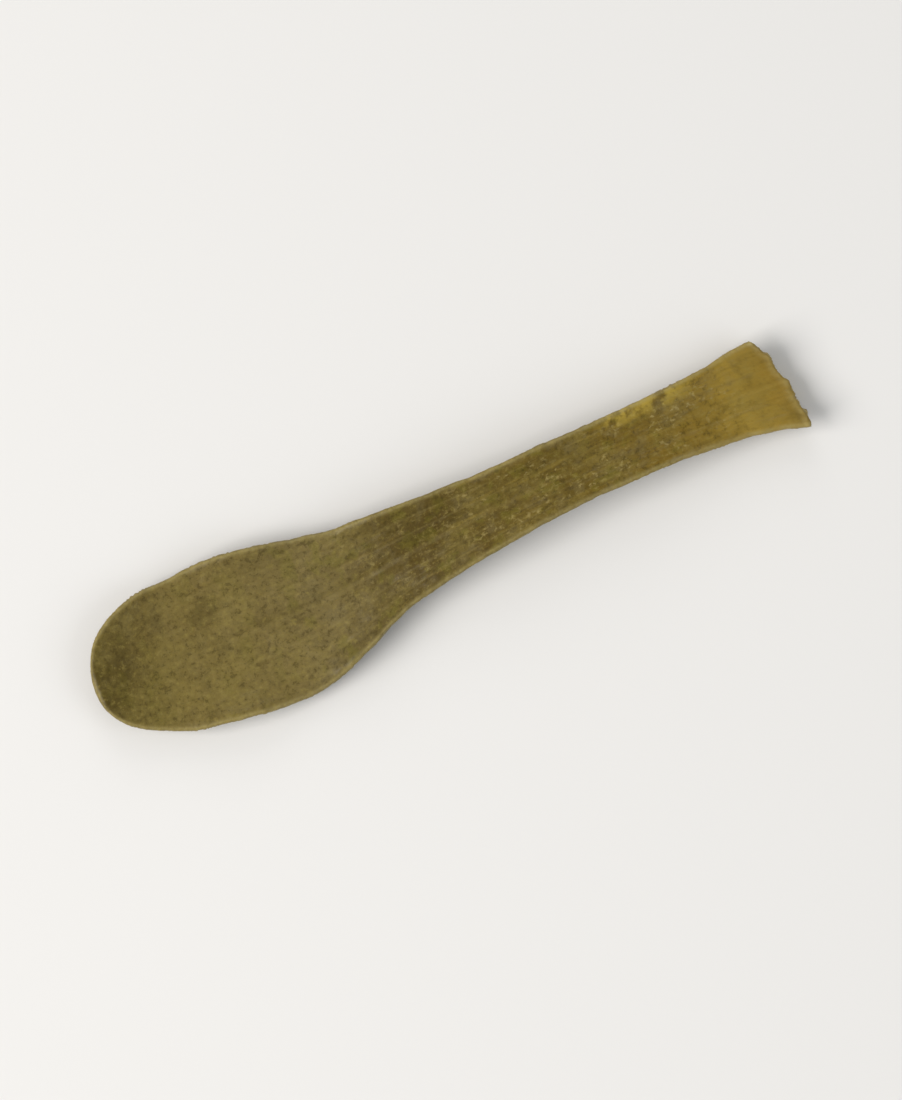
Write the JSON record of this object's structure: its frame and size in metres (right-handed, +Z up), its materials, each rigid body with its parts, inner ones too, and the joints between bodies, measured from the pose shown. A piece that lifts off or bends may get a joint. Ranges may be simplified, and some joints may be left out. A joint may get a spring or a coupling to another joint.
{
  "type": "sea aster leaf",
  "caption": "Pickled sea aster leaf: a fleshy, spoon-shaped blade on a long, channelled, strap-like stalk with a torn base.",
  "frame": {"origin": "bottom centre of the leaf's box, on the surface that the leaf lies on", "axes": "+X along the leaf from its tip to its torn base, +Y across it, +Z up, out of its channelled upper face"},
  "size_m": [0.0424, 0.0094, 0.0031],
  "materials": {
    "leaf_flesh": "satin"
  },
  "bodies": {
    "root": {"leaf": "leaf_flesh"}
  },
  "joints": []
}
